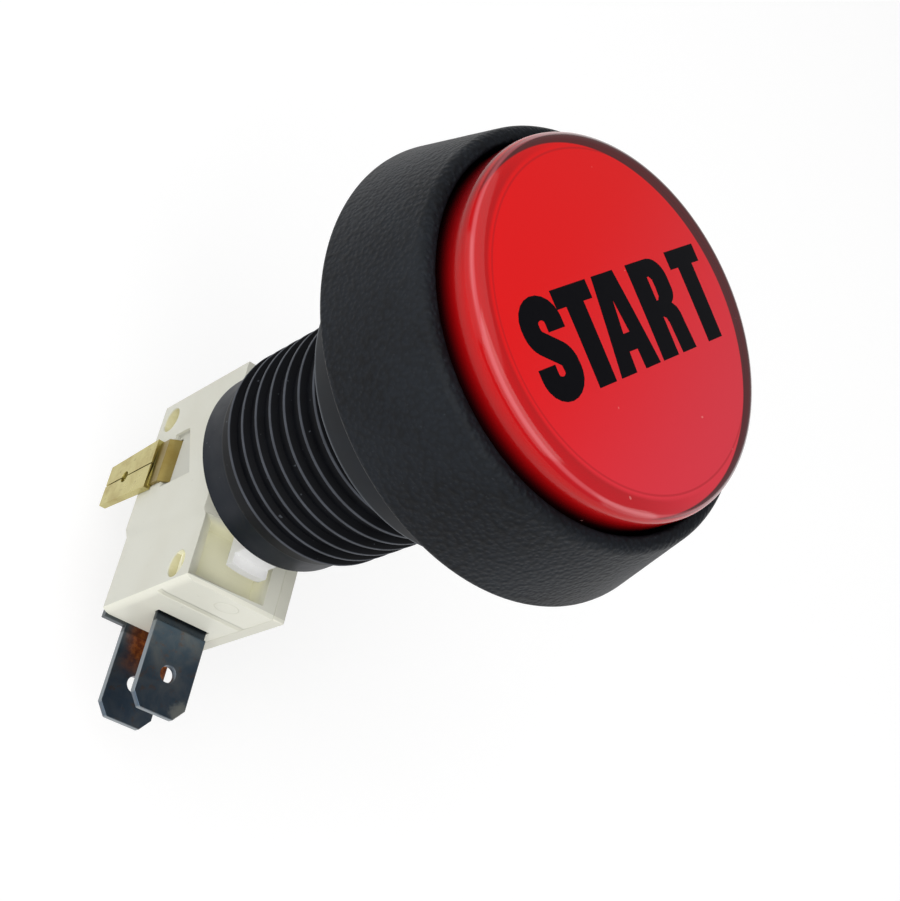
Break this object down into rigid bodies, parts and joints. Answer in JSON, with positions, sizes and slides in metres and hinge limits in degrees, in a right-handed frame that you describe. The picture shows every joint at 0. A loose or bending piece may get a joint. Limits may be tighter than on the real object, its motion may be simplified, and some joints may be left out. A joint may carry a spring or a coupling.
{
  "type": "arcade push button",
  "caption": "Round illuminated arcade push button: red domed lens in a black tapered bezel, threaded barrel, ring nut, and a cream switch and lamp block on its tail.",
  "frame": {"origin": "on the button's axis, in the plane of the bezel's rear rim, where it seats on the panel", "axes": "+Z along the button's axis, out through the lens; -Y towards the end with the two steel switch terminals; -X towards the side with the near brass lamp terminal"},
  "size_m": [0.042, 0.0455, 0.0771],
  "materials": {
    "housing": "fine leathery texture",
    "nut": "smooth",
    "lens": "clear red, polished",
    "legend": "printed film",
    "diffuser": "milky",
    "plunger": "moulded",
    "spring": "plain wire",
    "case": "moulded",
    "glass": "clear",
    "filament": "dark wire",
    "brass": "stamped sheet",
    "copper": "rolled strip",
    "contact": "silver rivet",
    "tab": "blued, with heat tint"
  },
  "bodies": {
    "base": {"housing": "housing", "panel_nut": "nut", "switch_case": "case", "case_cover": "case", "return_spring": "spring", "lamp_glass": "glass", "lamp_filament": "filament", "lamp_leads": "spring", "lamp_terminal_near": "brass", "lamp_terminal_far": "brass", "fixed_contact": "contact", "open_terminal": "tab", "common_terminal": "tab"},
    "cap": {"lens": "lens", "legend_plate": "legend", "diffuser": "diffuser", "plunger": "plunger"},
    "pin": {"switch_button": "plunger", "button_spring": "spring"},
    "blade": {"contact_blade": "copper", "snap_leaf": "copper", "moving_contact": "contact"}
  },
  "joints": [
    {"name": "press", "type": "slide", "parent": "base", "child": "cap", "axis": [0, 0, 1], "range_m": [-0.0025, 0], "stiffness_N_per_m": 500, "springref_m": 0.0015, "deforming": ["return_spring"]},
    {"name": "pin_slide", "type": "slide", "parent": "base", "child": "pin", "axis": [0, 0, 1], "range_m": [-0.0025, 0], "deforming": ["button_spring"]},
    {"name": "blade_tilt", "type": "hinge", "parent": "base", "child": "blade", "pos_m": [0.0008, -0.0026, -0.04875], "axis": [1, 0, 0], "range_deg": [0, 5]}
  ],
  "couplings": [
    {"joint": "pin_slide", "follows": "press", "ratio": 1},
    {"joint": "blade_tilt", "follows": "press", "rad_per_m": -34}
  ]
}
